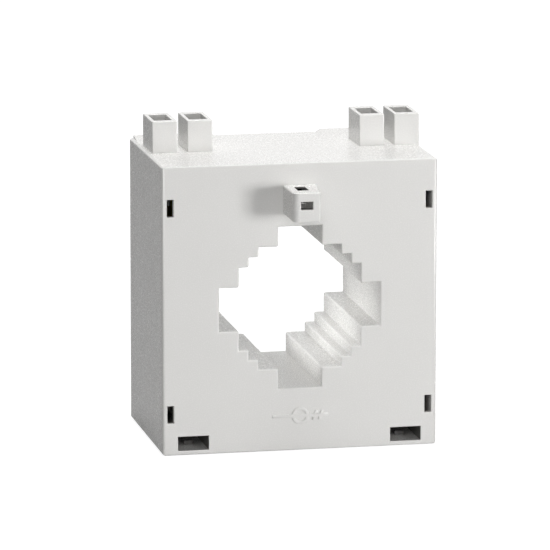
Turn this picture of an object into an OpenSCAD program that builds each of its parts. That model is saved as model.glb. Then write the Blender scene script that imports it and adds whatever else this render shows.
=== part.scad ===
/* [Case] */
// Width of the case, side to side
case_w = 70; // [67:1:78]
// Depth of the case, front face to back face
case_d = 44; // [40:1:56]
// Height of the case without the terminal towers
case_h = 73; // [71:1:84]
// Thickness of the side, top and bottom walls
wall = 1.3; // [1.1:0.1:1.8]
// Thickness of the front face and of the back cover
face_t = 1.6; // [1.2:0.1:2.4]
// Radius of the case's outer front edges
edge_r = 0.9; // [0.3:0.1:1.2]
// Radius of the case's outer back edges
back_edge_r = 0.4; // [0.2:0.1:1]

/* [Primary window] */
// Clear width for the widest flat bar
flat_bar_w = 41; // [38:1:43]
// Clear height for the widest flat bar
flat_bar_h = 11; // [8:1:13]
// Clear width for the middle bar
mid_bar_w = 31; // [29:1:33]
// Clear height for the middle bar
mid_bar_h = 21; // [19:1:23]
// Clear side of the square in the middle
square_bar = 26; // [24.5:0.5:28]
// Wall of the tunnel through the case
tunnel_wall = 1.4; // [1:0.1:1.6]
// Depth from the front face to the seam inside the tunnel
seam_depth = 24; // [16:1:28]
// Length of the lap joint behind the seam
lap_len = 3; // [2:0.5:5]

/* [Terminal towers] */
// Width of one tower
tower_w = 6.4; // [5.8:0.1:7]
// Depth of one tower, front to back
tower_d = 13; // [12:0.5:15]
// Height of the towers above the case
tower_h = 8; // [6:0.5:11]
// Side walls of a tower
tower_side = 1; // [0.8:0.1:1.3]
// Front and back walls of a tower
tower_end = 2; // [1.2:0.1:2.2]
// Distance between the two towers of a pair
tower_pitch = 9; // [8.5:0.1:10]
// Distance from the front face to the towers
tower_setback = 20.3; // [17:0.5:22]
// How much further in the left pair stands than the right pair
pair_skew = 1.4; // [0:0.1:1.8]
// Height of the raised edge behind each pair
hood_h = 0.7; // [0.3:0.1:1.5]
// Depth of the raised edge behind each pair
hood_d = 6; // [3:0.5:8]
// Distance from the middle of the case to the raised edges
hood_x = 13.3; // [12:0.1:18]

/* [Blade terminals] */
// Width of a blade
blade_w = 6.3; // [5.6:0.1:6.6]
// Thickness of the blade strip
blade_t = 0.8; // [0.5:0.1:1]
// How far the blade tips lie below the towers' rims
blade_recess = 2; // [0.5:0.5:4]
// Diameter of the latch hole in a blade
blade_hole_d = 1.8; // [1.4:0.1:2.2]
// Length of the wire barrel behind a blade pair
barrel_len = 6; // [4:0.5:7]
// Thickness of the block that carries the blades
carrier_t = 5.3; // [4.5:0.1:5.5]

/* [Front lug] */
// Width of the lug
lug_w = 7; // [6:0.5:10]
// Height of the lug
lug_h = 7.3; // [6.5:0.1:8.5]
// How far the lug stands out of the front face
lug_len = 12; // [9:0.5:18]
// Distance from the window's upper edge to the lug
lug_gap = 3.2; // [2:0.1:4.5]
// How far the lug stands to the left of the middle
lug_shift = 0.8; // [0:0.1:2]
// How much the lug's right side flares out at its root
lug_flare = 1.4; // [0:0.1:2.5]
// Radius of the lug's front left edge
lug_round = 1.7; // [0.5:0.1:2]
// Width of the hollow inside the lug
lug_hollow_w = 3; // [2:0.1:4]
// Thickness of the lug's roof over the hollow
lug_roof = 0.5; // [0.4:0.1:1.5]
// Thickness of the lug's front wall
lug_front_t = 2.2; // [1.2:0.1:3]
// Length of the slot in the lug's top
lug_slot_len = 5.2; // [3:0.1:5.5]

/* [Snap windows] */
// Width of a snap window
snap_w = 1.7; // [1.4:0.1:2]
// Height of a snap window
snap_h = 4.4; // [3.4:0.1:4.4]
// Distance from the top or bottom face to a snap window's middle
snap_inset = 10.4; // [10.2:0.1:12]
// Thickness of the cover's snap arms
arm_t = 1.5; // [1.1:0.1:1.8]

/* [Foot sockets] */
// Width of a foot socket
foot_w = 7.8; // [6:0.1:9]
// Height of a foot socket
foot_h = 3.6; // [2.5:0.1:3.8]
// Distance from the side face to a socket's middle
foot_inset = 7.9; // [6.5:0.1:9]
// Depth of a foot socket
foot_depth = 15; // [10:1:18]
// Wall around a foot socket
foot_wall = 1; // [0.8:0.1:1.4]

/* [Core and winding] */
// Free space between the wound ring and the case
ring_gap = 0.3; // [0.2:0.05:0.5]
// Extra room above and below the wound ring
ring_headroom = 1.5; // [1.5:0.1:3]
// Thickness of the outer tape
tape_t = 0.3; // [0.2:0.1:0.5]
// Diameter of the winding wire
wire_d = 1.5; // [1:0.1:1.6]
// Number of turns
turns = 50; // [30:1:60]
// Wall of the insulating cups on the core
cup_t = 0.8; // [0.5:0.1:1]
// Thickness of the foam rings at the wound ring's ends
foam_t = 1.5; // [0.8:0.1:3]

/* [Hidden] */

fit = 0.15;      // assembly gap between moulded pieces
cover_gap = 0.1; // gap around the back cover
seam_gap = 0.12; // visible gap at the seam in the tunnel
slot_gap = 0.1;  // gap around a blade in its carrier
over = 1;        // how far a cut runs past a face
fine = 48;

light_grey = [0.85, 0.85, 0.84];
carrier_grey = [0.30, 0.31, 0.32];
tin = [0.78, 0.78, 0.76];
copper = [0.72, 0.36, 0.18];
steel = [0.45, 0.47, 0.50];
cup_white = [0.92, 0.90, 0.84];
tape_yellow = [0.88, 0.76, 0.34];
foam_black = [0.14, 0.14, 0.15];
sleeve_green = [0.30, 0.44, 0.34];
shrink_red = [0.62, 0.16, 0.14];

// Inside of the case
front_y = -case_d / 2;
back_y = case_d / 2;
in_x = case_w / 2 - wall;
in_front = front_y + face_t;
in_back = back_y - face_t;
in_top = case_h - wall;
window_z = case_h / 2;

// The bars that the stepped window takes, widest first
bars = [[flat_bar_w, flat_bar_h], [mid_bar_w, mid_bar_h], [square_bar, square_bar],
    [mid_bar_h, mid_bar_w], [flat_bar_h, flat_bar_w]];
seam_y = front_y + seam_depth;

// Layers of the wound ring, from the outside in
ring_in = max([for (b = bars) norm([b[0] / 2 + tunnel_wall, b[1] / 2 + tunnel_wall])]) + ring_gap;
ring_out = min(in_x, case_h / 2 - wall - ring_headroom) - ring_gap;
ring_half = case_d / 2 - face_t - foam_t;
cup_in = ring_in + tape_t + wire_d;
cup_out = ring_out - tape_t - wire_d;
cup_half = ring_half - tape_t - wire_d;
core_gap = 0.05; // gap between a cup and the core
tape_r = 1.2;    // rounding of the taped ring

// Terminal towers and what stands in them
tower_flush = 0.05; // from the right pair's outer face to the side of the case
pair_half = tower_pitch / 2 + tower_w / 2;
right_pair_x = case_w / 2 - tower_flush - pair_half;
left_pair_x = -(right_pair_x - pair_skew);
tower_y = front_y + tower_setback;
blade_y = tower_y + tower_d / 2;
blade_top = case_h + tower_h - blade_recess;
carrier_top = in_top - fit;
carrier_z = carrier_top - carrier_t;
carrier_half = in_x - fit - right_pair_x;
strip_top = carrier_z - slot_gap;
strip_z = strip_top - blade_t;
rail_t = 1.2;
rail_lip = 0.8;
post_half = 4;
post_t = 1.2;
post_lift = 1; // from a carrier's underside to its post
latch_drop = 4; // from a blade's tip to its latch hole
leg_x = 3.3;
leg_t = 1;
leg_half = 0.7;
leg_hook = 0.6; // thickness of a leg's hook
leg_grip = 0.5; // how far a hook reaches under the strip

// Winding ends and their crimps
exit_angle = 36;
end_x = ring_out * cos(exit_angle);
barrel_z = strip_top - blade_t / 2;
barrel_in = wire_d / 2 + 0.05;
barrel_out = barrel_in + blade_t * 0.75;
barrel_gap = 4; // from a crimp barrel to its strip
barrel_y1 = blade_y - blade_w / 2 - barrel_gap;
barrel_y0 = barrel_y1 - barrel_len;
bend_r = 2.5;
sleeve_t = 0.35;
sleeve_in = wire_d / 2 + 0.05;
sleeve_out = sleeve_in + sleeve_t;
end_y = barrel_y0 - 1.5 - bend_r;

// Snap joints
snap_setback = 16; // from the front face to the ledges
snap_y = front_y + snap_setback;
ledge_len = 6;
arm_h = snap_h - 0.8;
arm_x = in_x - snap_w - fit - arm_t;
nose_len = 2.4;
nose_flat = 0.6;
nose_gap = 0.3; // from a nose to the side wall

// Lug on the front face
lug_z = window_z + flat_bar_w / 2 + lug_gap;
lug_front = front_y - lug_len;
lug_floor = 0.7; // thickness of the floor under the hollow
lug_edge = 0.8; // radius of the front right edge
lug_slot_back = 2.6; // from the slot in the top to the front face
lug_slot_side = 0.15; // from the slot's side to the hollow's
lug_bar_t = 1.1;
lug_bar_back = 3.8; // from the cross bar's front to the front face
lug_bar_rise = 2.1; // from the lug's underside to the cross bar
lug_eye_rise = 3.15; // from the lug's underside to the front window
lug_eye_h = 1.95;

// Foot sockets
foot_z = wall - 0.2;
foot_x = case_w / 2 - foot_inset;
nib_half = 1.1;
nib_y = front_y + 7;
nib_rise = 1;
nib_flat = 0.6;
nib_len = 2.5;

// Rectangle with its own radius at each corner, from the lower left and going round
module soft_rect(x0, y0, x1, y1, r) {
    corners = [[x0, y0, 1, 1], [x1, y0, -1, 1], [x1, y1, -1, -1], [x0, y1, 1, -1]];
    difference() {
        translate([x0, y0]) square([x1 - x0, y1 - y0]);
        for (i = [0:3]) translate([corners[i][0], corners[i][1]]) difference() {
            square(r[i] * 2, center = true);
            translate([corners[i][2] * r[i], corners[i][3] * r[i]]) circle(r[i], $fn = fine);
        }
    }
}

// Draws the children in the front view and runs them from y0 to y1
module along_y(y0, y1) {
    translate([0, y1, 0]) rotate([90, 0, 0]) linear_extrude(y1 - y0) children();
}

// Draws the children in the side view, depth and height, and runs them from x0 to x1
module along_x(x0, x1) {
    translate([x0, 0, 0]) rotate([90, 0, 90]) linear_extrude(x1 - x0) children();
}

// Box from its low and high corners
module block(low, high) {
    translate(low) cube(high - low);
}

// The stepped window, grown by a wall
module stepped(grow) {
    translate([0, window_z]) for (b = bars) square([b[0] + 2 * grow, b[1] + 2 * grow], center = true);
}

// Turns a radius and length profile into a ring about the window's axis
module turned() {
    translate([0, 0, window_z]) rotate([90, 0, 0]) rotate_extrude($fn = 96) children();
}

// Case block, rounded in its three views
module case_block() {
    intersection() {
        linear_extrude(case_h) soft_rect(-case_w / 2, front_y, case_w / 2, back_y,
            [edge_r, edge_r, back_edge_r, back_edge_r]);
        along_y(front_y, back_y) soft_rect(-case_w / 2, 0, case_w / 2, case_h, [for (i = [0:3]) edge_r]);
        along_x(-case_w / 2, case_w / 2) soft_rect(front_y, 0, back_y, case_h,
            [edge_r / 2, back_edge_r, back_edge_r, edge_r / 2]);
    }
}

// Room inside the case with the seat of the back cover
module case_room() {
    block([-in_x, in_front, wall], [in_x, back_y + over, in_top]);
    cover_outline(0, back_y + over);
}

// Outline of the back cover, from the seat in the case's rim
module cover_outline(gap, y1) {
    half = case_w / 2 - wall / 2 - gap;
    along_y(in_back, y1)
        soft_rect(-half, wall / 2 + gap, half, case_h - wall / 2 - gap, [0.3, 0.3, 0.3, 0.3]);
}

// Runs the children at both towers of both pairs
module at_towers() {
    for (pair = [left_pair_x, right_pair_x], side = [-1, 1])
        translate([pair + side * tower_pitch / 2, 0, 0]) children();
}

module towers() {
    at_towers() translate([0, 0, in_top]) linear_extrude(wall + tower_h)
        soft_rect(-tower_w / 2, tower_y, tower_w / 2, tower_y + tower_d, [0.3, 0.3, 0.3, 0.3]);
}

// Raised edge behind each tower pair, which ramps up to the back and to the side
module hoods() {
    slope = hood_h * 1.5;
    low = case_h - wall / 2;
    y0 = back_y - hood_d;
    y1 = back_y - back_edge_r;
    for (side = [-1, 1]) intersection() {
        along_y(y0, y1) polygon([[side * hood_x, low], [side * hood_x, case_h],
            [side * (hood_x + slope), case_h + hood_h], [side * (case_w / 2 - edge_r), case_h + hood_h],
            [side * (case_w / 2 - edge_r), low]]);
        along_x(-case_w / 2, case_w / 2)
            polygon([[y0, low], [y0, case_h], [y1, case_h + hood_h], [y1, low]]);
    }
}

module tower_holes() {
    at_towers() block([-tower_w / 2 + tower_side, tower_y + tower_end, in_top - over],
        [tower_w / 2 - tower_side, tower_y + tower_d - tower_end, case_h + tower_h + over]);
}

// Rail beside one edge of a carrier, with the lip that bears it
module carrier_rail(edge, out) {
    x0 = min(edge + out * fit, edge + out * (fit + rail_t));
    lip_x = min(edge - out * rail_lip, edge + out * (fit + rail_t));
    block([x0, tower_y - fit, carrier_z - fit - rail_t], [x0 + rail_t, blade_y + tower_d / 2, in_top + 0.1]);
    block([lip_x, tower_y - fit, carrier_z - fit - rail_t],
        [lip_x + rail_lip + fit + rail_t, blade_y + tower_d / 2, carrier_z - fit]);
}

// Rails and the front stop of one carrier
module carrier_seat(pair) {
    carrier_rail(pair - carrier_half, -1);
    carrier_rail(pair + carrier_half, 1);
    stop_half = carrier_half + fit + rail_t;
    block([pair - stop_half, tower_y - fit - rail_t, carrier_top - carrier_t / 2],
        [pair + stop_half, tower_y - fit, in_top + 0.1]);
}

// Runs the children at the four snap joints, mirrored to the left side
module at_snaps() {
    for (side = [0, 1], z = [snap_inset, case_h - snap_inset])
        translate([0, 0, z]) mirror([side, 0, 0]) children();
}

// Ledge on the side wall that a snap arm catches
module snap_ledge() {
    block([in_x - snap_w, snap_y, -snap_h / 2], [in_x + 0.1, snap_y + ledge_len, snap_h / 2]);
}

// Closed pocket for a foot, open at the front face
module foot_pocket(grow) {
    y0 = grow > 0 ? in_front - 0.1 : front_y - over;
    z0 = grow > 0 ? foot_z - 0.5 : foot_z;
    block([foot_x - foot_w / 2 - grow, y0, z0],
        [foot_x + foot_w / 2 + grow, front_y + foot_depth + grow, foot_z + foot_h + grow]);
}

// Nib that a foot's latch clicks behind
module foot_nib() {
    along_x(foot_x - nib_half, foot_x + nib_half)
        polygon([[nib_y, foot_z - 0.1], [nib_y, foot_z + nib_rise], [nib_y + nib_flat, foot_z + nib_rise],
            [nib_y + nib_len, foot_z - 0.1]]);
}

// Lug: a hollow arm with a slot on top, a window in front and a cross bar inside
module lug_body() {
    left = -lug_shift - lug_w / 2;
    right = -lug_shift + lug_w / 2;
    intersection() {
        along_y(lug_front, in_front) soft_rect(left, lug_z, right + lug_flare, lug_z + lug_h,
            [for (i = [0:3]) 0.5]);
        linear_extrude(case_h) {
            soft_rect(left, lug_front, right, in_front + over, [lug_round, lug_edge, 0.1, 0.1]);
            polygon([[right - over, lug_front + over], [right, lug_front + over], [right + lug_flare, front_y],
                [right + lug_flare, in_front + over], [right - over, in_front + over]]);
        }
    }
}

module lug_hollow() {
    half = lug_hollow_w / 2;
    top = lug_z + lug_h;
    bar_y = front_y - lug_bar_back;
    bar_z = lug_z + lug_bar_rise;
    slot_y = front_y - lug_slot_back;
    eye_z = lug_z + lug_eye_rise;
    translate([-lug_shift, 0, 0]) {
        difference() {
            block([-half, lug_front + lug_front_t, lug_z + lug_floor], [half, in_front + over, top - lug_roof]);
            block([-half - over, bar_y, bar_z], [half + over, bar_y + lug_bar_t, bar_z + lug_bar_t]);
        }
        block([-half + lug_slot_side, slot_y - lug_slot_len, top - lug_roof - over],
            [half - lug_slot_side, slot_y, top + over]);
        block([-half, lug_front - over, eye_z], [half, lug_front + lug_front_t + over, eye_z + lug_eye_h]);
    }
}

// Deep shell with the face, the side walls and the front half of the tunnel
module front_housing() {
    color(light_grey) difference() {
        union() {
            difference() {
                case_block();
                case_room();
            }
            along_y(in_front - 0.1, seam_y) stepped(tunnel_wall);
            towers();
            hoods();
            intersection() {
                union() {
                    carrier_seat(left_pair_x);
                    carrier_seat(right_pair_x);
                }
                case_block();
            }
            at_snaps() snap_ledge();
            for (side = [0, 1]) mirror([side, 0, 0]) foot_pocket(foot_wall);
            lug_body();
        }
        along_y(front_y - over, seam_y + over) stepped(0);
        difference() {
            along_y(seam_y - lap_len - fit, seam_y + over) stepped(tunnel_wall + over);
            along_y(seam_y - lap_len - fit - over, seam_y + 2 * over) stepped(tunnel_wall / 2);
        }
        tower_holes();
        at_snaps() block([in_x - snap_w, front_y - over, -snap_h / 2], [in_x, in_front + over, snap_h / 2]);
        for (side = [0, 1]) mirror([side, 0, 0]) difference() {
            foot_pocket(0);
            foot_nib();
        }
        lug_hollow();
    }
}

// Snap arm with its nose, which hooks round the ledge's front
module snap_arm() {
    catch_y = snap_y - fit;
    translate([0, 0, -arm_h / 2]) linear_extrude(arm_h)
        polygon([[arm_x, in_back + 0.1], [arm_x, catch_y - nose_len], [arm_x + arm_t, catch_y - nose_len],
            [in_x - nose_gap, catch_y - nose_flat], [in_x - nose_gap, catch_y], [arm_x + arm_t, catch_y],
            [arm_x + arm_t, in_back + 0.1]]);
}

// Post that holds a terminal carrier against its stop
module carrier_post(pair) {
    z0 = carrier_z + post_lift;
    y0 = tower_y + tower_d + fit;
    block([pair - post_half, y0, z0], [pair + post_half, in_back + 0.1, z0 + post_t]);
    block([pair - post_t / 2, y0, z0], [pair + post_t / 2, in_back + 0.1, carrier_top - 0.5]);
}

// Back cover with the rear half of the tunnel
module rear_cover() {
    color(light_grey) difference() {
        union() {
            cover_outline(cover_gap, back_y - 0.05);
            along_y(seam_y + seam_gap, in_back + 0.1) stepped(tunnel_wall);
            difference() {
                along_y(seam_y - lap_len, seam_y + seam_gap + 0.1) stepped(tunnel_wall);
                along_y(seam_y - lap_len - over, seam_y + seam_gap) stepped(tunnel_wall / 2 + fit);
            }
            at_snaps() snap_arm();
            carrier_post(left_pair_x);
            carrier_post(right_pair_x);
        }
        along_y(seam_y - lap_len - over, back_y + over) stepped(0);
    }
}

// Strip-wound core: the edges of the strip show as fine steps on both ends
module ring_core() {
    r0 = cup_in + cup_t + core_gap;
    r1 = cup_out - cup_t - core_gap;
    half = cup_half - cup_t - core_gap;
    layers = 12;
    step = (r1 - r0) / layers;
    dent = 0.1;
    top_edge = [for (i = [0:2 * layers - 1])
        [r0 + step * ceil(i / 2), half - (floor(i / 2) % 2 == 0 ? 0 : dent)]];
    low_edge = [for (i = [2 * layers - 1:-1:0])
        [r0 + step * ceil(i / 2), -half + (floor(i / 2) % 2 == 0 ? 0 : dent)]];
    color(steel) turned() polygon(concat(top_edge, low_edge));
}

// Insulating cup over one half of the core; the two meet in the middle
module core_cup(y_side) {
    color(cup_white) turned() mirror([0, y_side > 0 ? 1 : 0]) difference() {
        translate([cup_in, 0]) square([cup_out - cup_in, cup_half]);
        translate([cup_in + cup_t, -over]) square([cup_out - cup_in - 2 * cup_t, cup_half - cup_t + over]);
    }
}

// Wire end that rises out of the ring, bends and runs back into its crimp
module wire_path(r) {
    translate([end_x, end_y, window_z]) cylinder(r = r, h = barrel_z - bend_r - window_z, $fn = fine);
    translate([end_x, end_y + bend_r, barrel_z - bend_r]) rotate([90, 0, -90])
        rotate_extrude(angle = 90, $fn = fine) translate([bend_r, 0]) circle(r, $fn = fine);
    translate([end_x, end_y + bend_r, barrel_z]) rotate([-90, 0, 0])
        cylinder(r = r, h = barrel_y1 - end_y - bend_r, $fn = fine);
}

// The part of a wire end outside a radius of the ring
module wire_end(r, from_r) {
    difference() {
        wire_path(r);
        turned() translate([0, -case_d]) square([from_r, 2 * case_d]);
    }
}

// Copper winding: a band of turns that stand proud of their bed, and the two ends
module secondary_winding() {
    bed = wire_d * 0.7;
    crown = wire_d - 0.02;
    color(copper) difference() {
        union() {
            turned() translate([cup_in - bed, -cup_half - bed])
                square([cup_out - cup_in + 2 * bed, 2 * (cup_half + bed)]);
            for (i = [0:turns - 1]) translate([0, 0, window_z]) rotate([0, i * 360 / turns, 0])
                linear_extrude(wire_d * 0.8, center = true)
                    soft_rect(cup_in - crown, -cup_half - crown, cup_out + crown, cup_half + crown,
                        [for (k = [0:3]) 1]);
            for (side = [0, 1]) mirror([side, 0, 0]) wire_end(wire_d / 2, cup_out);
        }
        turned() translate([cup_in, -cup_half]) square([cup_out - cup_in, 2 * cup_half]);
    }
}

// Tape over the whole winding, open where the two ends come out
module winding_tape() {
    color(tape_yellow) difference() {
        turned() difference() {
            soft_rect(ring_in, -ring_half, ring_out, ring_half, [for (i = [0:3]) tape_r]);
            soft_rect(ring_in + tape_t, -ring_half + tape_t, ring_out - tape_t, ring_half - tape_t,
                [for (i = [0:3]) tape_r - tape_t]);
        }
        for (side = [-1, 1]) translate([side * end_x, end_y, window_z])
            cylinder(r = sleeve_in, h = ring_out, $fn = fine);
    }
}

// Foam ring between the wound ring and a face of the case
module foam_ring(y0) {
    color(foam_black) translate([0, y0 + foam_t / 2, 0]) turned()
        translate([ring_in + 0.4, -foam_t / 2]) square([ring_out - ring_in - 0.8, foam_t]);
}

// Hooked leg beside the strip, drawn behind the blades
module carrier_leg() {
    y0 = blade_w / 2 + slot_gap;
    hook_z = strip_z - slot_gap;
    block([-leg_half, y0, hook_z - leg_hook], [leg_half, y0 + leg_t, carrier_z + 0.1]);
    block([-leg_half, blade_w / 2 - leg_grip, hook_z - leg_hook], [leg_half, y0 + leg_t, hook_z]);
}

// Moulded block that closes a tower pair from below and holds the blades
module terminal_carrier(pair) {
    color(carrier_grey) difference() {
        union() {
            block([pair - carrier_half, tower_y, carrier_z],
                [pair + carrier_half, tower_y + tower_d, carrier_top]);
            for (x = [-leg_x, leg_x], turn = [0, 1])
                translate([pair + x, blade_y, 0]) mirror([0, turn, 0]) carrier_leg();
        }
        for (side = [-1, 1]) translate([pair + side * tower_pitch / 2, 0, 0])
            block([-blade_t / 2 - slot_gap, blade_y - blade_w / 2 - slot_gap, carrier_z - over],
                [blade_t / 2 + slot_gap, blade_y + blade_w / 2 + slot_gap, carrier_top + over]);
    }
}

// One blade with its chamfered tip and latch hole, drawn in the side view
module blade_outline() {
    tip = 0.8;
    y0 = blade_y - blade_w / 2;
    y1 = blade_y + blade_w / 2;
    difference() {
        polygon([[y0, strip_z], [y1, strip_z], [y1, blade_top - tip], [y1 - tip, blade_top],
            [y0 + tip, blade_top], [y0, blade_top - tip]]);
        translate([blade_y, blade_top - latch_drop]) circle(d = blade_hole_d, $fn = fine);
    }
}

// Two blades of one pole on their strip, with the wire barrel
module double_blade(pair, end) {
    color(tin) {
        for (side = [-1, 1]) along_x(pair + side * tower_pitch / 2 - blade_t / 2,
            pair + side * tower_pitch / 2 + blade_t / 2) blade_outline();
        block([pair - tower_pitch / 2 - blade_t / 2, blade_y - blade_w / 2, strip_z],
            [pair + tower_pitch / 2 + blade_t / 2, blade_y + blade_w / 2, strip_top]);
        difference() {
            union() {
                block([end - 1.2, barrel_y1 - 0.6, strip_z],
                    [end + 1.2, blade_y - blade_w / 2 + 0.1, strip_top]);
                translate([end, barrel_y0, barrel_z]) rotate([-90, 0, 0])
                    cylinder(r = barrel_out, h = barrel_len, $fn = fine);
            }
            translate([end, barrel_y0 - over, barrel_z]) rotate([-90, 0, 0])
                cylinder(r = barrel_in, h = barrel_len + over + 0.05, $fn = fine);
        }
    }
}

// Insulating sleeve on a bare wire end, from the tape to the crimp
module wire_sleeve(side) {
    color(sleeve_green) mirror([side, 0, 0]) difference() {
        intersection() {
            wire_end(sleeve_out, ring_out + 0.05);
            block([0, end_y - sleeve_out - over, window_z], [case_w, barrel_y0 - fit, case_h]);
        }
        wire_path(sleeve_in);
    }
}

// Shrink sleeve over a crimp
module crimp_sleeve(side) {
    color(shrink_red) mirror([side, 0, 0]) translate([end_x, barrel_y0, barrel_z]) rotate([-90, 0, 0])
        difference() {
            cylinder(r = barrel_out + 0.45, h = barrel_len - 0.8, $fn = fine);
            translate([0, 0, -over]) cylinder(r = barrel_out + 0.05, h = barrel_len + 2 * over, $fn = fine);
        }
}

front_housing();
rear_cover();
ring_core();
core_cup(-1);  // core_cup_front
core_cup(1);  // core_cup_rear
secondary_winding();
winding_tape();
foam_ring(in_front);  // foam_ring_front
foam_ring(in_back - foam_t);  // foam_ring_rear
terminal_carrier(left_pair_x);  // terminal_carrier_left
terminal_carrier(right_pair_x);  // terminal_carrier_right
double_blade(left_pair_x, -end_x);  // double_blade_left
double_blade(right_pair_x, end_x);  // double_blade_right
wire_sleeve(1);  // wire_sleeve_left
wire_sleeve(0);  // wire_sleeve_right
crimp_sleeve(1);  // crimp_sleeve_left
crimp_sleeve(0);  // crimp_sleeve_right
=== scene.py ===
import bmesh
import bpy
import math
from mathutils import Matrix, Vector


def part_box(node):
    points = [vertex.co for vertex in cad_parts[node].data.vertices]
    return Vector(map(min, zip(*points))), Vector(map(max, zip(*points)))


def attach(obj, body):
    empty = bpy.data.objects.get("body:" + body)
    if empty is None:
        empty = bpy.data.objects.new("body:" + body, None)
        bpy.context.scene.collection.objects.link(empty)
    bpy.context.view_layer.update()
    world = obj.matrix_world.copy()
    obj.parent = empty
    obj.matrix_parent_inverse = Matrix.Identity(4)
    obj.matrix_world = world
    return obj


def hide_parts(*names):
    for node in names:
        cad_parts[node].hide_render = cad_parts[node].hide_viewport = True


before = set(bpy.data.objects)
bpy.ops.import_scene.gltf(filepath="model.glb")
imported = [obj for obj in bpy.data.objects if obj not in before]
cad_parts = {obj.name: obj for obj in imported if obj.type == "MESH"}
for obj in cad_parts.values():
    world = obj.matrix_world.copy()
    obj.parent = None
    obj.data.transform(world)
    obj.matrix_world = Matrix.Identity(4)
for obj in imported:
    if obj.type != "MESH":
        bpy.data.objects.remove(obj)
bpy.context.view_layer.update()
mm = 0.001


# Sizes of the moulding that its box doesn't tell
towerTall = 8 * mm
lugRise = 31 * mm  # from the window's axis to the lug's top
windowSteps = [5.5 * mm, 10.5 * mm, 13 * mm, 15.5 * mm, 20.5 * mm]  # from the window's axis, both ways
seamY = 2 * mm  # where the housing and the cover meet in the window

# Places that the pieces share, read from the frame
housingLow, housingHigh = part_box("front_housing")
coverLow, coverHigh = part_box("rear_cover")
backY = housingHigh.y
faceY = -backY
sideX = housingHigh.x
towerTop = housingHigh.z
caseTop = towerTop - towerTall
lugTip = housingLow.y
windowZ = (coverLow.z + coverHigh.z) / 2
lugTop = windowZ + lugRise


# Small helpers for node trees

def addNode(tree, kind, values=None, **settings):
    node = tree.nodes.new(kind)
    for name, value in settings.items():
        setattr(node, name, value)
    for name, value in (values or {}).items():
        node.inputs[name].default_value = value
    return node


def join(tree, source, target):
    tree.links.new(source, target)


def newGroup(name, inputs, outputs):
    group = bpy.data.node_groups.new(name, "ShaderNodeTree")
    for label, kind in inputs:
        group.interface.new_socket(name=label, in_out="INPUT", socket_type=kind)
    for label, kind in outputs:
        group.interface.new_socket(name=label, in_out="OUTPUT", socket_type=kind)
    return group, group.nodes.new("NodeGroupInput"), group.nodes.new("NodeGroupOutput")


# Effects that several finishes share

skinNoise = {
    "grain": {"Detail": 2.0, "Roughness": 0.6},
    "wave": {"Detail": 1.0, "Roughness": 0.4},
    "cloud": {"Scale": 90.0, "Detail": 3.0}}


def makeSkinGroup():
    # fine spark-eroded grain, long flow waves and faint clouds of a moulded surface
    group, inn, out = newGroup(
        "mouldedSkin",
        [("Place", "NodeSocketVector"), ("Grain Scale", "NodeSocketFloat"),
         ("Grain Share", "NodeSocketFloat"), ("Wave Scale", "NodeSocketFloat")],
        [("Height", "NodeSocketFloat"), ("Cloud", "NodeSocketFloat"), ("Speck", "NodeSocketFloat")])
    grain = addNode(group, "ShaderNodeTexNoise", skinNoise["grain"])
    wave = addNode(group, "ShaderNodeTexNoise", skinNoise["wave"])
    cloud = addNode(group, "ShaderNodeTexNoise", skinNoise["cloud"])
    mix = addNode(group, "ShaderNodeMix")
    for node in (grain, wave, cloud):
        join(group, inn.outputs["Place"], node.inputs["Vector"])
    join(group, inn.outputs["Grain Scale"], grain.inputs["Scale"])
    join(group, inn.outputs["Wave Scale"], wave.inputs["Scale"])
    join(group, inn.outputs["Grain Share"], mix.inputs["Factor"])
    join(group, wave.outputs["Fac"], mix.inputs["A"])
    join(group, grain.outputs["Fac"], mix.inputs["B"])
    join(group, mix.outputs["Result"], out.inputs["Height"])
    join(group, cloud.outputs["Fac"], out.inputs["Cloud"])
    join(group, grain.outputs["Fac"], out.inputs["Speck"])
    return group


def makeRingPlaceGroup():
    # turns Object coordinates into angle and radius about the window's axis
    group, inn, out = newGroup(
        "ringPlace",
        [("Place", "NodeSocketVector")],
        [("Angle", "NodeSocketFloat"), ("Radius", "NodeSocketFloat"), ("Depth", "NodeSocketFloat")])
    split = addNode(group, "ShaderNodeSeparateXYZ")
    lift = addNode(group, "ShaderNodeMath", {1: windowZ}, operation="SUBTRACT")
    angle = addNode(group, "ShaderNodeMath", operation="ARCTAN2")
    squareX = addNode(group, "ShaderNodeMath", {1: 2.0}, operation="POWER")
    squareZ = addNode(group, "ShaderNodeMath", {1: 2.0}, operation="POWER")
    total = addNode(group, "ShaderNodeMath", operation="ADD")
    radius = addNode(group, "ShaderNodeMath", operation="SQRT")
    join(group, inn.outputs["Place"], split.inputs[0])
    join(group, split.outputs["Z"], lift.inputs[0])
    join(group, lift.outputs[0], angle.inputs[0])
    join(group, split.outputs["X"], angle.inputs[1])
    join(group, split.outputs["X"], squareX.inputs[0])
    join(group, lift.outputs[0], squareZ.inputs[0])
    join(group, squareX.outputs[0], total.inputs[0])
    join(group, squareZ.outputs[0], total.inputs[1])
    join(group, total.outputs[0], radius.inputs[0])
    join(group, angle.outputs[0], out.inputs["Angle"])
    join(group, radius.outputs[0], out.inputs["Radius"])
    join(group, split.outputs["Y"], out.inputs["Depth"])
    return group


skinGroup = makeSkinGroup()
ringPlaceGroup = makeRingPlaceGroup()
print("shared effects ready")


# Finishes

def startMaterial(name, metallic=0.0, ior=1.5):
    material = bpy.data.materials.new(name)
    material.use_nodes = True
    tree = material.node_tree
    shader = tree.nodes["Principled BSDF"]
    shader.inputs["Metallic"].default_value = metallic
    shader.inputs["IOR"].default_value = ior
    place = addNode(tree, "ShaderNodeTexCoord")
    return material, tree, shader, place.outputs["Object"]


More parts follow.
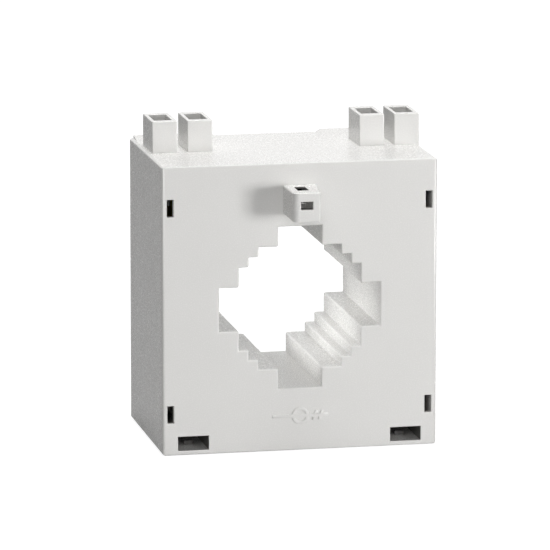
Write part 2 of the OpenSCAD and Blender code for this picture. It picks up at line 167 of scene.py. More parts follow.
def applyLook(tree, shader, look, tone, gloss, height):
    # one pattern blends the two colours, one the roughness, and one raises the surface
    blend = addNode(tree, "ShaderNodeMix", data_type="RGBA")
    blend.inputs["A"].default_value = (*look["dark"], 1)
    blend.inputs["B"].default_value = (*look["light"], 1)
    join(tree, tone, blend.inputs["Factor"])
    join(tree, blend.outputs["Result"], shader.inputs["Base Color"])
    span = addNode(tree, "ShaderNodeMapRange", {"To Min": look["roughLow"], "To Max": look["roughHigh"]})
    join(tree, gloss, span.inputs["Value"])
    join(tree, span.outputs["Result"], shader.inputs["Roughness"])
    bump = addNode(tree, "ShaderNodeBump", {"Distance": look["depth"]})
    join(tree, height, bump.inputs["Height"])
    join(tree, bump.outputs["Normal"], shader.inputs["Normal"])


def mouldedPlastic(name, look):
    material, tree, shader, place = startMaterial(name, ior=look["ior"])
    skin = addNode(tree, "ShaderNodeGroup", node_tree=skinGroup)
    skin.inputs["Grain Scale"].default_value = look["grainScale"]
    skin.inputs["Grain Share"].default_value = look["grainShare"]
    skin.inputs["Wave Scale"].default_value = look["waveScale"]
    join(tree, place, skin.inputs["Place"])
    applyLook(tree, shader, look, skin.outputs["Cloud"], skin.outputs["Speck"], skin.outputs["Height"])
    return material


casePlastic = mouldedPlastic("caseGrey", {
    "dark": (0.690, 0.684, 0.668), "light": (0.712, 0.706, 0.690), "roughLow": 0.24, "roughHigh": 0.30,
    "ior": 1.46, "grainScale": 3500.0, "grainShare": 0.12, "waveScale": 45.0, "depth": 0.000004})

# painted shade: a dark colour that stands for the shade deep inside the foot sockets and the lug's hollow
paintedShadePlastic = mouldedPlastic("paintedHollowShade", {
    "dark": (0.120, 0.117, 0.110), "light": (0.150, 0.147, 0.140), "roughLow": 0.45, "roughHigh": 0.6,
    "ior": 1.46, "grainScale": 3500.0, "grainShare": 0.4, "waveScale": 90.0, "depth": 0.000006})

carrierPlastic = mouldedPlastic("carrierDark", {
    "dark": (0.060, 0.063, 0.067), "light": (0.085, 0.089, 0.093), "roughLow": 0.45, "roughHigh": 0.7,
    "ior": 1.5, "grainScale": 5000.0, "grainShare": 0.8, "waveScale": 150.0, "depth": 0.00003})

cupPlastic = mouldedPlastic("cupNatural", {
    "dark": (0.78, 0.74, 0.63), "light": (0.84, 0.80, 0.70), "roughLow": 0.4, "roughHigh": 0.55,
    "ior": 1.5, "grainScale": 2500.0, "grainShare": 0.5, "waveScale": 60.0, "depth": 0.00002})

shrinkPlastic = mouldedPlastic("shrinkRed", {
    "dark": (0.34, 0.022, 0.018), "light": (0.42, 0.035, 0.028), "roughLow": 0.25, "roughHigh": 0.4,
    "ior": 1.5, "grainScale": 1500.0, "grainShare": 0.3, "waveScale": 700.0, "depth": 0.00005})


def tinnedStrip():
    look = {"dark": (0.62, 0.61, 0.58), "light": (0.80, 0.79, 0.76), "roughLow": 0.22, "roughHigh": 0.42,
            "draw": {"Scale": 900.0, "Detail": 4.0}, "drawStretch": 0.04,
            "stain": {"Scale": 350.0, "Detail": 3.0}, "depth": 0.000006}
    material, tree, shader, place = startMaterial("tinnedBrass", metallic=1.0)
    stretch = addNode(tree, "ShaderNodeMapping")
    stretch.inputs["Scale"].default_value = (1, 1, look["drawStretch"])
    draw = addNode(tree, "ShaderNodeTexNoise", look["draw"])
    stain = addNode(tree, "ShaderNodeTexNoise", look["stain"])
    join(tree, place, stretch.inputs["Vector"])
    join(tree, stretch.outputs["Vector"], draw.inputs["Vector"])
    join(tree, place, stain.inputs["Vector"])
    applyLook(tree, shader, look, stain.outputs["Fac"], draw.outputs["Fac"], draw.outputs["Fac"])
    return material


def enamelledCopper():
    look = {"dark": (0.36, 0.10, 0.03), "light": (0.58, 0.20, 0.07), "roughLow": 0.22, "roughHigh": 0.38,
            "metal": 0.9, "enamel": 0.6, "enamelRough": 0.12, "cloud": {"Scale": 420.0, "Detail": 3.0},
            "depth": 0.00002}
    material, tree, shader, place = startMaterial("enamelledCopper", metallic=look["metal"])
    shader.inputs["Coat Weight"].default_value = look["enamel"]
    shader.inputs["Coat Roughness"].default_value = look["enamelRough"]
    cloud = addNode(tree, "ShaderNodeTexNoise", look["cloud"])
    join(tree, place, cloud.inputs["Vector"])
    applyLook(tree, shader, look, cloud.outputs["Fac"], cloud.outputs["Fac"], cloud.outputs["Fac"])
    return material


def woundSteel():
    look = {"dark": (0.26, 0.27, 0.29), "light": (0.46, 0.47, 0.50), "roughLow": 0.3, "roughHigh": 0.5,
            "stripsPerMetre": 3300.0, "depth": 0.00003}
    material, tree, shader, place = startMaterial("woundSteel", metallic=1.0)
    ring = addNode(tree, "ShaderNodeGroup", node_tree=ringPlaceGroup)
    strips = addNode(tree, "ShaderNodeMath", {1: look["stripsPerMetre"]}, operation="MULTIPLY")
    saw = addNode(tree, "ShaderNodeMath", {1: 1.0}, operation="PINGPONG")
    join(tree, place, ring.inputs["Place"])
    join(tree, ring.outputs["Radius"], strips.inputs[0])
    join(tree, strips.outputs[0], saw.inputs[0])
    applyLook(tree, shader, look, saw.outputs[0], saw.outputs[0], saw.outputs[0])
    return material


def filmTape():
    # overlapping laps, leaning a little, each with a darker edge
    look = {"dark": (0.50, 0.34, 0.04), "light": (0.72, 0.52, 0.10), "roughLow": 0.25, "roughHigh": 0.4,
            "lapsPerTurn": 34.0, "lean": 60.0, "depth": 0.00006}
    material, tree, shader, place = startMaterial("filmTape")
    ring = addNode(tree, "ShaderNodeGroup", node_tree=ringPlaceGroup)
    turn = addNode(tree, "ShaderNodeMath", {1: look["lapsPerTurn"] / (2 * math.pi)}, operation="MULTIPLY")
    lean = addNode(tree, "ShaderNodeMath", {1: look["lean"]}, operation="MULTIPLY")
    total = addNode(tree, "ShaderNodeMath", operation="ADD")
    lap = addNode(tree, "ShaderNodeMath", operation="FRACT")
    join(tree, place, ring.inputs["Place"])
    join(tree, ring.outputs["Angle"], turn.inputs[0])
    join(tree, ring.outputs["Depth"], lean.inputs[0])
    join(tree, turn.outputs[0], total.inputs[0])
    join(tree, lean.outputs[0], total.inputs[1])
    join(tree, total.outputs[0], lap.inputs[0])
    applyLook(tree, shader, look, lap.outputs[0], lap.outputs[0], lap.outputs[0])
    return material


def closedCellFoam():
    look = {"dark": (0.010, 0.010, 0.011), "light": (0.040, 0.040, 0.042), "roughLow": 0.75,
            "roughHigh": 0.95, "cellsPerMetre": 2200.0, "depth": 0.0001}
    material, tree, shader, place = startMaterial("closedCellFoam")
    cells = addNode(tree, "ShaderNodeTexVoronoi", {"Scale": look["cellsPerMetre"]})
    join(tree, place, cells.inputs["Vector"])
    applyLook(tree, shader, look, cells.outputs[0], cells.outputs[0], cells.outputs[0])
    return material


def wovenSleeve():
    # two sets of threads that cross
    look = {"dark": (0.030, 0.075, 0.045), "light": (0.085, 0.19, 0.12), "roughLow": 0.5, "roughHigh": 0.8,
            "threadScale": 420.0, "threadTurn": 0.7, "depth": 0.00008}
    material, tree, shader, place = startMaterial("wovenSleeve")
    waves = []
    for turn in (look["threadTurn"], -look["threadTurn"]):
        lean = addNode(tree, "ShaderNodeMapping")
        lean.inputs["Rotation"].default_value = (turn, turn, turn)
        wave = addNode(tree, "ShaderNodeTexWave", {"Scale": look["threadScale"]})
        join(tree, place, lean.inputs["Vector"])
        join(tree, lean.outputs["Vector"], wave.inputs["Vector"])
        waves.append(wave.outputs["Fac"])
    weave = addNode(tree, "ShaderNodeMath", operation="MULTIPLY")
    join(tree, waves[0], weave.inputs[0])
    join(tree, waves[1], weave.inputs[1])
    applyLook(tree, shader, look, weave.outputs[0], weave.outputs[0], weave.outputs[0])
    return material


tinned = tinnedStrip()
copper = enamelledCopper()
print("finishes ready")


# Rounded copies of the CAD pieces, with angles in degrees
meshing = {
    "weld": 0.001 * mm,  # corners nearer than this become one
    "flatBelow": 0.3,  # faces that meet at less than this become one
    "edgeFrom": 35,  # edges from this on can be rounded
    "sharpFrom": 50}  # edges from this on stay crisp in the shading
slack = 0.02 * mm  # how near a corner has to be to a place to count as being there


def cleanShape(nodeName):
    # one skin with shared corners and whole flat faces
    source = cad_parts[nodeName].data
    plain = bpy.data.meshes.new("plain")
    plain.from_pydata([v.co[:] for v in source.vertices], [], [p.vertices[:] for p in source.polygons])
    shape = bmesh.new()
    shape.from_mesh(plain)
    bpy.data.meshes.remove(plain)
    bmesh.ops.remove_doubles(shape, verts=shape.verts, dist=meshing["weld"])
    flat = math.radians(meshing["flatBelow"])
    bmesh.ops.dissolve_limit(shape, angle_limit=flat, verts=shape.verts, edges=shape.edges)
    return shape


def inBox(low, high):
    return lambda place: all(low[i] - slack <= place[i] <= high[i] + slack for i in range(3))


def onWindow(nearY, farY):
    # places on the stepped outline of the window, between two depths
    def test(place):
        offsets = (abs(place.x), abs(place.z - windowZ))
        onSteps = all(any(abs(offset - step) < slack for step in windowSteps) for offset in offsets)
        return onSteps and nearY - slack <= place.y <= farY + slack
    return test


def weighEdges(shape, rules, widest):
    # a rule is a test that both ends of an outer edge pass, and the rounding of such edges
    layer = shape.edges.layers.float.new("bevel_weight_edge")
    least = math.radians(meshing["edgeFrom"])
    for edge in shape.edges:
        if len(edge.link_faces) != 2 or edge.calc_face_angle() < least or not edge.is_convex:
            continue
        for test, width in rules:
            if all(test(v.co) for v in edge.verts):
                edge[layer] = width / widest
                break


def bakeModifiers(piece):
    # swaps the mesh for the evaluated one and takes the modifiers off
    bpy.context.view_layer.update()
    graph = bpy.context.evaluated_depsgraph_get()
    result = piece.evaluated_get(graph)
    mesh = bpy.data.meshes.new_from_object(result, preserve_all_data_layers=True, depsgraph=graph)
    mesh.name = piece.name
    piece.modifiers.clear()
    piece.data = mesh


def roundedCopy(nodeName, name, rules, material, segments):
    shape = cleanShape(nodeName)
    widest = max(width for test, width in rules)
    weighEdges(shape, rules, widest)
    mesh = bpy.data.meshes.new(name)
    shape.to_mesh(mesh)
    shape.free()
    mesh.shade_smooth()
    mesh.materials.append(material)
    piece = bpy.data.objects.new(name, mesh)
    bpy.context.scene.collection.objects.link(piece)
    bevel = piece.modifiers.new("edges", "BEVEL")
    bevel.limit_method = "WEIGHT"
    bevel.width = widest
    bevel.segments = segments
    bevel.use_clamp_overlap = False
    bevel.loop_slide = False
    bakeModifiers(piece)
    piece.data.set_sharp_from_angle(angle=math.radians(meshing["sharpFrom"]))
    even = piece.modifiers.new("shading", "WEIGHTED_NORMAL")
    even.keep_sharp = True
    bakeModifiers(piece)
    return piece


# Roundings of the case's edges, and the reach of the rules around the lug and the seam in the window
caseEdges = {"window": 0.45 * mm, "tower": 0.22 * mm, "lug": 0.2 * mm, "slit": 0.15 * mm, "seam": 0.08 * mm,
             "segments": 3, "lugHalfW": 6 * mm, "lugTall": 8 * mm, "lugRoot": 0.2 * mm, "seamReach": 0.2 * mm}

# Foot sockets and the lug's hollow are deep and unlit, so their inner faces get a dark colour that is painted
# shade, not a different plastic. In the lug, front and back are measured forward from the case's face, and
# low and high down from the lug's top.
hollows = {
    "socket": {"nearX": 23.1 * mm, "farX": 31.1 * mm, "lowZ": 1.6 * mm, "highZ": 5.6 * mm, "start": 0.1 * mm,
               "depth": 15.2 * mm},
    "lugLeft": -2.35 * mm, "lugRight": 0.65 * mm,
    "lugInside": {"front": 9.9 * mm, "back": -2.0 * mm, "low": 6.65 * mm, "high": 0.15 * mm},
    "lugSill": {"front": 11.5 * mm, "back": 10.0 * mm, "low": 4.2 * mm, "high": 4.1 * mm},
    "lugBar": {"front": 3.85 * mm, "back": 2.65 * mm, "low": 5.25 * mm, "high": 4.05 * mm}}


def inSocket(side):
    size = hollows["socket"]
    left, right = sorted((side * size["nearX"], side * size["farX"]))
    return inBox((left, faceY + size["start"], size["lowZ"]),
                 (right, faceY + size["depth"], size["highZ"]))


def inLug(part):
    size = hollows[part]
    return inBox((hollows["lugLeft"], faceY - size["front"], lugTop - size["low"]),
                 (hollows["lugRight"], faceY - size["back"], lugTop - size["high"]))


def shadeHollows(piece):
    dark = [inSocket(-1), inSocket(1), inLug("lugInside"), inLug("lugSill")]
    onBar = inLug("lugBar")  # the bar across the hollow stays pale
    # the second material is painted shade on the inner faces of the sockets and the lug's hollow
    piece.data.materials.append(paintedShadePlastic)
    for face in piece.data.polygons:
        if any(test(face.center) for test in dark) and not onBar(face.center):
            face.material_index = 1


def makeHousing():
    lugSide = caseEdges["lugHalfW"]
    lugRootY = faceY - caseEdges["lugRoot"]
    lugLow = lugTop - caseEdges["lugTall"]
    rules = [
        (onWindow(seamY, seamY), caseEdges["seam"]),
        (onWindow(faceY, seamY), caseEdges["window"]),
        (inBox((-sideX, faceY, towerTop), (sideX, backY, towerTop)), caseEdges["tower"]),
        (inBox((-lugSide, lugTip, lugTop), (lugSide, lugRootY, lugTop)), caseEdges["lug"]),
        (inBox((-lugSide, lugTip, lugLow), (lugSide, lugTip, lugTop)), caseEdges["lug"]),
        (inBox((-sideX, faceY, 0), (sideX, faceY, caseTop)), caseEdges["slit"])]
    piece = roundedCopy("front_housing", "frontHousing", rules, casePlastic, caseEdges["segments"])
    shadeHollows(piece)
    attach(piece, "root")
    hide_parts("front_housing")


def makeCover():
    rearY = coverHigh.y
    rules = [
        (onWindow(seamY, seamY + caseEdges["seamReach"]), caseEdges["seam"]),
        (onWindow(seamY, rearY), caseEdges["window"]),
        (inBox((-sideX, rearY, 0), (sideX, rearY, caseTop)), caseEdges["slit"])]
    piece = roundedCopy("rear_cover", "rearCover", rules, casePlastic, caseEdges["segments"])
    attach(piece, "root")
    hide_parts("rear_cover")


# Coined edges of the blades, how deep the blades reach from the terminal's back, and how high they start
blades = {"coined": 0.12 * mm, "segments": 2, "deep": 7 * mm, "rise": 5 * mm}


def makeBlades(side):
    nodeName = "double_blade_" + side
    low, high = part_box(nodeName)
    rules = [(inBox((low.x, high.y - blades["deep"], low.z + blades["rise"]), high), blades["coined"])]
    piece = roundedCopy(nodeName, "blades_" + side, rules, tinned, blades["segments"])
    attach(piece, "root")
    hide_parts(nodeName)


makeHousing()
print("front housing ready")
makeCover()
print("rear cover ready")
for bladeSide in ("left", "right"):
    makeBlades(bladeSide)
print("blades ready")


# Raised mark on the face: the plain drawing sign of a current transformer

mark = {"middleX": 0.1 * mm, "middleZ": 8.8 * mm, "width": 14.2 * mm, "ringD": 4.4 * mm, "ringSteps": 48,
        "stroke": 0.8 * mm, "proud": 0.25 * mm, "tickGap": 1.5 * mm, "tickTall": 2.6 * mm, "tickLean": 20.0,
        "tickThin": 0.8, "edge": 0.1 * mm, "edgeSegments": 2, "edgeFrom": 50, "sharpFrom": 40}


def addBar(shape, width, height, spin, place):
    made = bmesh.ops.create_cube(shape, size=1)["verts"]
    size = Matrix.Diagonal((width, 2 * mark["proud"], height, 1))
    turn = Matrix.Rotation(math.radians(spin), 4, "Y")
    bmesh.ops.transform(shape, matrix=Matrix.Translation(place) @ turn @ size, verts=made)


def addRing(shape, outer, inner, place):
    steps = mark["ringSteps"]
    loops = []
    for radius, depth in ((outer, -1), (inner, -1), (inner, 1), (outer, 1)):
        loops.append([shape.verts.new(place + Vector((
            radius * math.cos(2 * math.pi * i / steps), depth * mark["proud"],
            radius * math.sin(2 * math.pi * i / steps)))) for i in range(steps)])
    for k in range(4):
        here = loops[k]
        after = loops[(k + 1) % 4]
        for i in range(steps):
            j = (i + 1) % steps
            shape.faces.new((here[i], here[j], after[j], after[i]))


def solidPiece(name, build):
    shape = bmesh.new()
    build(shape)
    bmesh.ops.recalc_face_normals(shape, faces=shape.faces)
    mesh = bpy.data.meshes.new(name)
    shape.to_mesh(mesh)
    shape.free()
    piece = bpy.data.objects.new(name, mesh)
    bpy.context.scene.collection.objects.link(piece)
    return piece


def makeMark():
    centre = Vector((mark["middleX"], faceY, mark["middleZ"]))
    ringR = mark["ringD"] / 2

    def line(shape):
        addBar(shape, mark["width"], mark["stroke"], 0, centre)

    def ring(shape):
        addRing(shape, ringR, ringR - mark["stroke"], centre)

    def ticks(shape):
        for k in (1, 2):
            place = centre + Vector((ringR + k * mark["tickGap"], 0, 0))
            addBar(shape, mark["stroke"] * mark["tickThin"], mark["tickTall"], mark["tickLean"], place)

    piece = solidPiece("faceMark", line)
    for build in (ring, ticks):
        cutter = solidPiece("markPart", build)
        merge = piece.modifiers.new("merge", "BOOLEAN")
        merge.operation = "UNION"
        merge.solver = "EXACT"
        merge.object = cutter
        bakeModifiers(piece)
        bpy.data.objects.remove(cutter)
    bevel = piece.modifiers.new("edges", "BEVEL")
    bevel.width = mark["edge"]
    bevel.segments = mark["edgeSegments"]
    bevel.angle_limit = math.radians(mark["edgeFrom"])
    bakeModifiers(piece)
    piece.data.materials.clear()
    piece.data.materials.append(casePlastic)
    piece.data.shade_smooth()
    piece.data.set_sharp_from_angle(angle=math.radians(mark["sharpFrom"]))
    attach(piece, "root")


makeMark()
print("raised mark ready")


# Copper winding: round wire in turns about the window, and the two ends that run to the crimps

winding = {"turns": 50, "wireD": 1.48 * mm, "turnCorner": 1.1 * mm, "endBend": 2.5 * mm, "cornerSteps": 5,
           "wireSides": 12}


def makeWindingTree():
    tree = bpy.data.node_groups.new("windingTurns", "GeometryNodeTree")
    for label, kind in (("Geometry", "NodeSocketGeometry"), ("Turns", "NodeSocketInt"),
                        ("Wire Radius", "NodeSocketFloat"), ("Wire Sides", "NodeSocketInt"),
                        ("Middle Radius", "NodeSocketFloat"), ("Turn Width", "NodeSocketFloat"),
                        ("Turn Depth", "NodeSocketFloat"), ("Turn Corner", "NodeSocketFloat"),
                        ("End Bend", "NodeSocketFloat"), ("Corner Steps", "NodeSocketInt"),
                        ("Axis Height", "NodeSocketFloat"), ("Finish", "NodeSocketMaterial")):
        tree.interface.new_socket(name=label, in_out="INPUT", socket_type=kind)
    tree.interface.new_socket(name="Geometry", in_out="OUTPUT", socket_type="NodeSocketGeometry")
    inn = tree.nodes.new("NodeGroupInput").outputs
    out = tree.nodes.new("NodeGroupOutput")
    section = addNode(tree, "GeometryNodeCurvePrimitiveCircle")
    join(tree, inn["Wire Radius"], section.inputs["Radius"])
    join(tree, inn["Wire Sides"], section.inputs["Resolution"])

    # one turn lies in the plane of depth and radius
    loop = addNode(tree, "GeometryNodeCurvePrimitiveQuadrilateral")
    shift = addNode(tree, "ShaderNodeCombineXYZ")
    aside = addNode(tree, "GeometryNodeTransform")
    softLoop = addNode(tree, "GeometryNodeFilletCurve")
    softLoop.mode = "POLY"
    turn = addNode(tree, "GeometryNodeCurveToMesh")
    join(tree, inn["Turn Width"], loop.inputs["Width"])
    join(tree, inn["Turn Depth"], loop.inputs["Height"])
    join(tree, inn["Middle Radius"], shift.inputs["X"])
    join(tree, loop.outputs["Curve"], softLoop.inputs["Curve"])
    join(tree, inn["Turn Corner"], softLoop.inputs["Radius"])
    join(tree, inn["Corner Steps"], softLoop.inputs["Count"])
    join(tree, softLoop.outputs["Curve"], aside.inputs["Geometry"])
    join(tree, shift.outputs["Vector"], aside.inputs["Translation"])
    join(tree, aside.outputs["Geometry"], turn.inputs["Curve"])
    join(tree, section.outputs["Curve"], turn.inputs["Profile Curve"])

    # the turns stand round the window's axis
    points = addNode(tree, "GeometryNodePoints")
    height = addNode(tree, "ShaderNodeCombineXYZ")
    number = addNode(tree, "GeometryNodeInputIndex")
    step = addNode(tree, "ShaderNodeMath", {0: 2 * math.pi}, operation="DIVIDE")
    angle = addNode(tree, "ShaderNodeMath", operation="MULTIPLY")
    spin = addNode(tree, "ShaderNodeCombineXYZ")
    ring = addNode(tree, "GeometryNodeInstanceOnPoints")
    join(tree, inn["Turns"], points.inputs["Count"])
    join(tree, inn["Axis Height"], height.inputs["Z"])
    join(tree, height.outputs["Vector"], points.inputs["Position"])
    join(tree, inn["Turns"], step.inputs[1])
    join(tree, number.outputs["Index"], angle.inputs[0])
    join(tree, step.outputs["Value"], angle.inputs[1])
    join(tree, angle.outputs["Value"], spin.inputs["Y"])
    join(tree, points.outputs["Points"], ring.inputs["Points"])
    join(tree, turn.outputs["Mesh"], ring.inputs["Instance"])
    join(tree, spin.outputs["Vector"], ring.inputs["Rotation"])

    # the ends follow the lines that the object brings along
    path = addNode(tree, "GeometryNodeMeshToCurve")
    softPath = addNode(tree, "GeometryNodeFilletCurve")
    softPath.mode = "POLY"
    end = addNode(tree, "GeometryNodeCurveToMesh", {"Fill Caps": True})
    join(tree, inn["Geometry"], path.inputs["Mesh"])
    join(tree, path.outputs["Curve"], softPath.inputs["Curve"])
    join(tree, inn["End Bend"], softPath.inputs["Radius"])
    join(tree, inn["Corner Steps"], softPath.inputs["Count"])
    join(tree, softPath.outputs["Curve"], end.inputs["Curve"])
    join(tree, section.outputs["Curve"], end.inputs["Profile Curve"])

    whole = addNode(tree, "GeometryNodeJoinGeometry")
    real = addNode(tree, "GeometryNodeRealizeInstances")
    smooth = addNode(tree, "GeometryNodeSetShadeSmooth")
    finish = addNode(tree, "GeometryNodeSetMaterial")
    join(tree, ring.outputs["Instances"], whole.inputs["Geometry"])
    join(tree, end.outputs["Mesh"], whole.inputs["Geometry"])
    join(tree, whole.outputs["Geometry"], smooth.inputs["Geometry"])
    join(tree, smooth.outputs["Geometry"], real.inputs["Geometry"])
    join(tree, real.outputs["Geometry"], finish.inputs["Geometry"])
    join(tree, inn["Finish"], finish.inputs["Material"])
    join(tree, finish.outputs["Geometry"], out.inputs["Geometry"])
    return tree


def setInputs(modifier, values):
    for item in modifier.node_group.interface.items_tree:
        if item.item_type == "SOCKET" and item.in_out == "INPUT" and item.name in values:
            modifier[item.identifier] = values[item.name]


def makeWinding():
    radii = [math.hypot(v.co.x, v.co.z - windowZ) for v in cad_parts["core_cup_front"].data.vertices]
    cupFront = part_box("core_cup_front")[0].y
    wireR = winding["wireD"] / 2
    inner = min(radii) - wireR
    outer = max(radii) + wireR
    depth = 2 * (wireR - cupFront)

    # up beside the ring, then back into the crimp
    corners = []
    for side in ("left", "right"):
        sleeveLow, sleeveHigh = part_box("wire_sleeve_" + side)
        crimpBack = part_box("crimp_sleeve_" + side)[1].y
        sleeveR = (sleeveHigh.x - sleeveLow.x) / 2
        x = (sleeveLow.x + sleeveHigh.x) / 2
        y = sleeveLow.y + sleeveR
        z = sleeveHigh.z - sleeveR
        start = windowZ + math.sqrt(outer ** 2 - x ** 2) - wireR
        corners += [(x, y, start), (x, y, z), (x, crimpBack, z)]
    mesh = bpy.data.meshes.new("windingTurns")
    mesh.from_pydata(corners, [(0, 1), (1, 2), (3, 4), (4, 5)], [])
    piece = bpy.data.objects.new("windingTurns", mesh)
    bpy.context.scene.collection.objects.link(piece)
    maker = piece.modifiers.new("turns", "NODES")
    maker.node_group = makeWindingTree()
    setInputs(maker, {
        "Turns": winding["turns"], "Wire Radius": wireR, "Wire Sides": winding["wireSides"],
        "Middle Radius": (inner + outer) / 2, "Turn Width": outer - inner, "Turn Depth": depth,
        "Turn Corner": winding["turnCorner"], "End Bend": winding["endBend"],
        "Corner Steps": winding["cornerSteps"], "Axis Height": windowZ, "Finish": copper})
    bakeModifiers(piece)
    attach(piece, "root")
    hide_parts("secondary_winding")


makeWinding()
print("winding ready")


# Hidden CAD pieces keep their shape and take their finish

innerFinish = {
    ("ring_core",): woundSteel(),
    ("core_cup_front", "core_cup_rear"): cupPlastic,
    ("winding_tape",): filmTape(),
    ("foam_ring_front", "foam_ring_rear"): closedCellFoam(),
    ("terminal_carrier_left", "terminal_carrier_right"): carrierPlastic,
    ("wire_sleeve_left", "wire_sleeve_right"): wovenSleeve(),
    ("crimp_sleeve_left", "crimp_sleeve_right"): shrinkPlastic}
for nodeNames, finish in innerFinish.items():
    for nodeName in nodeNames:
        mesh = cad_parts[nodeName].data
        mesh.materials.clear()
        mesh.materials.append(finish)
print("inner pieces ready")


# Floor, light and camera

studio = {
    "floorHalf": 4.0,
    "floorDrop": 0.2 * mm,  # keeps the floor clear of the base
    "floorGrey": 0.41,  # what the lamps light
    "seenWhite": 0.93,  # what the camera sees in its place
    "seenShade": 0.2,  # how much of the shadow it sees there
    "floorGloss": 0.15}  # how much of it reflections show

# Light from the surroundings: a direction and its strength, which fades to nothing square to it
skyLobes = {"right": (1, 0, 0, 0.25), "back": (0, 1, 0, 0.25)}

# Round soft boxes: turn from the front towards the right and rise, in degrees, then metres and watts,
# and whether the gloss of the pieces shows them
softBoxes = {
    "key": {"turn": 38, "rise": 3, "away": 0.7, "size": 0.2, "power": 2.85, "gloss": True},
    "fill": {"turn": -14, "rise": 20, "away": 1.2, "size": 0.65, "power": 4.4, "gloss": True},
    "top": {"turn": 0, "rise": 89, "away": 1.0, "size": 0.35, "power": 8.6, "gloss": True},
    "back": {"turn": -167, "rise": 20, "away": 1.2, "size": 0.7, "power": 4.0, "gloss": False}}

# Long weak lamps inside the window, on its left, for the walls and steps on its right: metres, degrees, watts
windowLamps = {
    "middle": {"place": (-0.014, 0, windowZ + 0.003), "aim": (0.018, 0, windowZ - 0.007),
               "size": (0.042, 0.006), "spread": 84, "power": 0.0028},
    "low": {"place": (-0.0045, 0, windowZ - 0.0165), "aim": (0.0055, 0, windowZ - 0.0155),
            "size": (0.040, 0.002), "spread": 70, "power": 0.0004}}


def seenInstead(tree, lit, seen, glossShare):
    # the camera and glass meet the second shader, and gloss meets its share of it
    path = addNode(tree, "ShaderNodeLightPath")
    gloss = addNode(tree, "ShaderNodeMath", {1: glossShare}, operation="MULTIPLY")
    first = addNode(tree, "ShaderNodeMath", operation="MAXIMUM")
    share = addNode(tree, "ShaderNodeMath", operation="MAXIMUM")
    mix = addNode(tree, "ShaderNodeMixShader")
    join(tree, path.outputs["Is Glossy Ray"], gloss.inputs[0])
    join(tree, path.outputs["Is Camera Ray"], first.inputs[0])
    join(tree, gloss.outputs[0], first.inputs[1])
    join(tree, first.outputs[0], share.inputs[0])
    join(tree, path.outputs["Is Transmission Ray"], share.inputs[1])
    join(tree, share.outputs[0], mix.inputs["Fac"])
    join(tree, lit, mix.inputs[1])
    join(tree, seen, mix.inputs[2])
    return mix.outputs[0]


def makeFloor():
    half = studio["floorHalf"]
    z = -studio["floorDrop"]
    mesh = bpy.data.meshes.new("floor")
    corners = [(-half, -half, z), (half, -half, z), (half, half, z), (-half, half, z)]
    mesh.from_pydata(corners, [], [(0, 1, 2, 3)])
    floor = bpy.data.objects.new("floor", mesh)
    bpy.context.scene.collection.objects.link(floor)
    material = bpy.data.materials.new("floorPale")
    material.use_nodes = True
    tree = material.node_tree
    output = tree.nodes["Material Output"]
    tree.nodes.remove(tree.nodes["Principled BSDF"])
    matt = addNode(tree, "ShaderNodeBsdfDiffuse")
    shade = addNode(tree, "ShaderNodeBsdfDiffuse")
    for shader, grey in ((matt, studio["floorGrey"]), (shade, studio["seenShade"])):
        shader.inputs["Color"].default_value = (grey, grey, grey, 1)
    white = addNode(tree, "ShaderNodeEmission", {"Strength": studio["seenWhite"]})
    seen = addNode(tree, "ShaderNodeAddShader")
    join(tree, white.outputs[0], seen.inputs[0])
    join(tree, shade.outputs[0], seen.inputs[1])
    surface = seenInstead(tree, matt.outputs[0], seen.outputs[0], studio["floorGloss"])
    join(tree, surface, output.inputs["Surface"])
    mesh.materials.append(material)


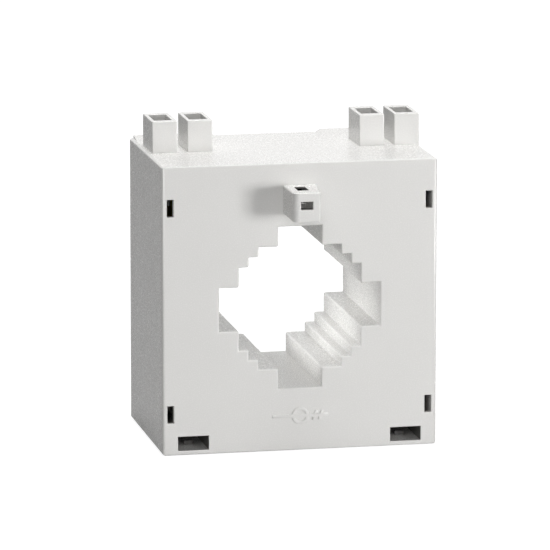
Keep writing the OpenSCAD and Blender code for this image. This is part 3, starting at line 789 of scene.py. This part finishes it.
def makeWorld():
    world = bpy.data.worlds.new("studio")
    bpy.context.scene.world = world
    world.use_nodes = True
    tree = world.node_tree
    soft = tree.nodes["Background"]
    soft.inputs["Color"].default_value = (1.0, 1.0, 1.0, 1)
    place = addNode(tree, "ShaderNodeTexCoord")
    total = None
    for x, y, z, strength in skyLobes.values():
        along = addNode(tree, "ShaderNodeVectorMath", {1: (x, y, z)}, operation="DOT_PRODUCT")
        facing = addNode(tree, "ShaderNodeMath", {1: 0.0}, operation="MAXIMUM")
        squared = addNode(tree, "ShaderNodeMath", {1: 2.0}, operation="POWER")
        share = addNode(tree, "ShaderNodeMath", {1: strength}, operation="MULTIPLY")
        join(tree, place.outputs["Generated"], along.inputs[0])
        join(tree, along.outputs["Value"], facing.inputs[0])
        join(tree, facing.outputs[0], squared.inputs[0])
        join(tree, squared.outputs[0], share.inputs[0])
        if total is None:
            total = share.outputs[0]
            continue
        more = addNode(tree, "ShaderNodeMath", operation="ADD")
        join(tree, total, more.inputs[0])
        join(tree, share.outputs[0], more.inputs[1])
        total = more.outputs[0]
    join(tree, total, soft.inputs["Strength"])
    white = addNode(tree, "ShaderNodeBackground", {"Strength": 1.0})
    white.inputs["Color"].default_value = (1.0, 1.0, 1.0, 1)
    surface = seenInstead(tree, soft.outputs[0], white.outputs[0], 1.0)
    join(tree, surface, tree.nodes["World Output"].inputs["Surface"])


def addLamp(name, shape, size, place, facing, power):
    data = bpy.data.lights.new(name, "AREA")
    data.shape = shape
    data.size = size[0]
    data.size_y = size[-1]
    data.energy = power
    lamp = bpy.data.objects.new(name, data)
    lamp.location = place
    lamp.rotation_euler = Vector(facing).to_track_quat("-Z", "Y").to_euler()
    lamp.visible_camera = False
    bpy.context.scene.collection.objects.link(lamp)
    return lamp


def makeLamps():
    middle = Vector((0, 0, windowZ))
    for name, box in softBoxes.items():
        turn = math.radians(box["turn"])
        rise = math.radians(box["rise"])
        out = Vector((math.sin(turn) * math.cos(rise), -math.cos(turn) * math.cos(rise), math.sin(rise)))
        lamp = addLamp(name, "DISK", (box["size"],), middle + out * box["away"], -out, box["power"])
        lamp.visible_glossy = box["gloss"]
    for name, strip in windowLamps.items():
        place = Vector(strip["place"])
        facing = Vector(strip["aim"]) - place
        lamp = addLamp(name, "RECTANGLE", strip["size"], place, facing, strip["power"])
        lamp.data.spread = math.radians(strip["spread"])
        lamp.visible_glossy = False


cameraView = {"place": (-0.27806, -1.32562, 0.31078), "aim": (-0.00568, -0.01857, 0.04420), "roll": 0.05,
              "lens": 357.62, "sensor": 36, "clip": 0.05}


def makeCamera():
    data = bpy.data.cameras.new("camera")
    data.lens = cameraView["lens"]
    data.sensor_width = cameraView["sensor"]
    data.clip_start = cameraView["clip"]
    camera = bpy.data.objects.new("camera", data)
    camera.location = cameraView["place"]
    look = Vector(cameraView["aim"]) - camera.location
    roll = Matrix.Rotation(math.radians(cameraView["roll"]), 3, "Z")
    camera.rotation_euler = (look.to_track_quat("-Z", "Y").to_matrix() @ roll).to_euler()
    bpy.context.scene.collection.objects.link(camera)
    bpy.context.scene.camera = camera


makeFloor()
makeWorld()
makeLamps()
makeCamera()
bpy.context.scene.view_settings.view_transform = "Standard"
print("studio ready")
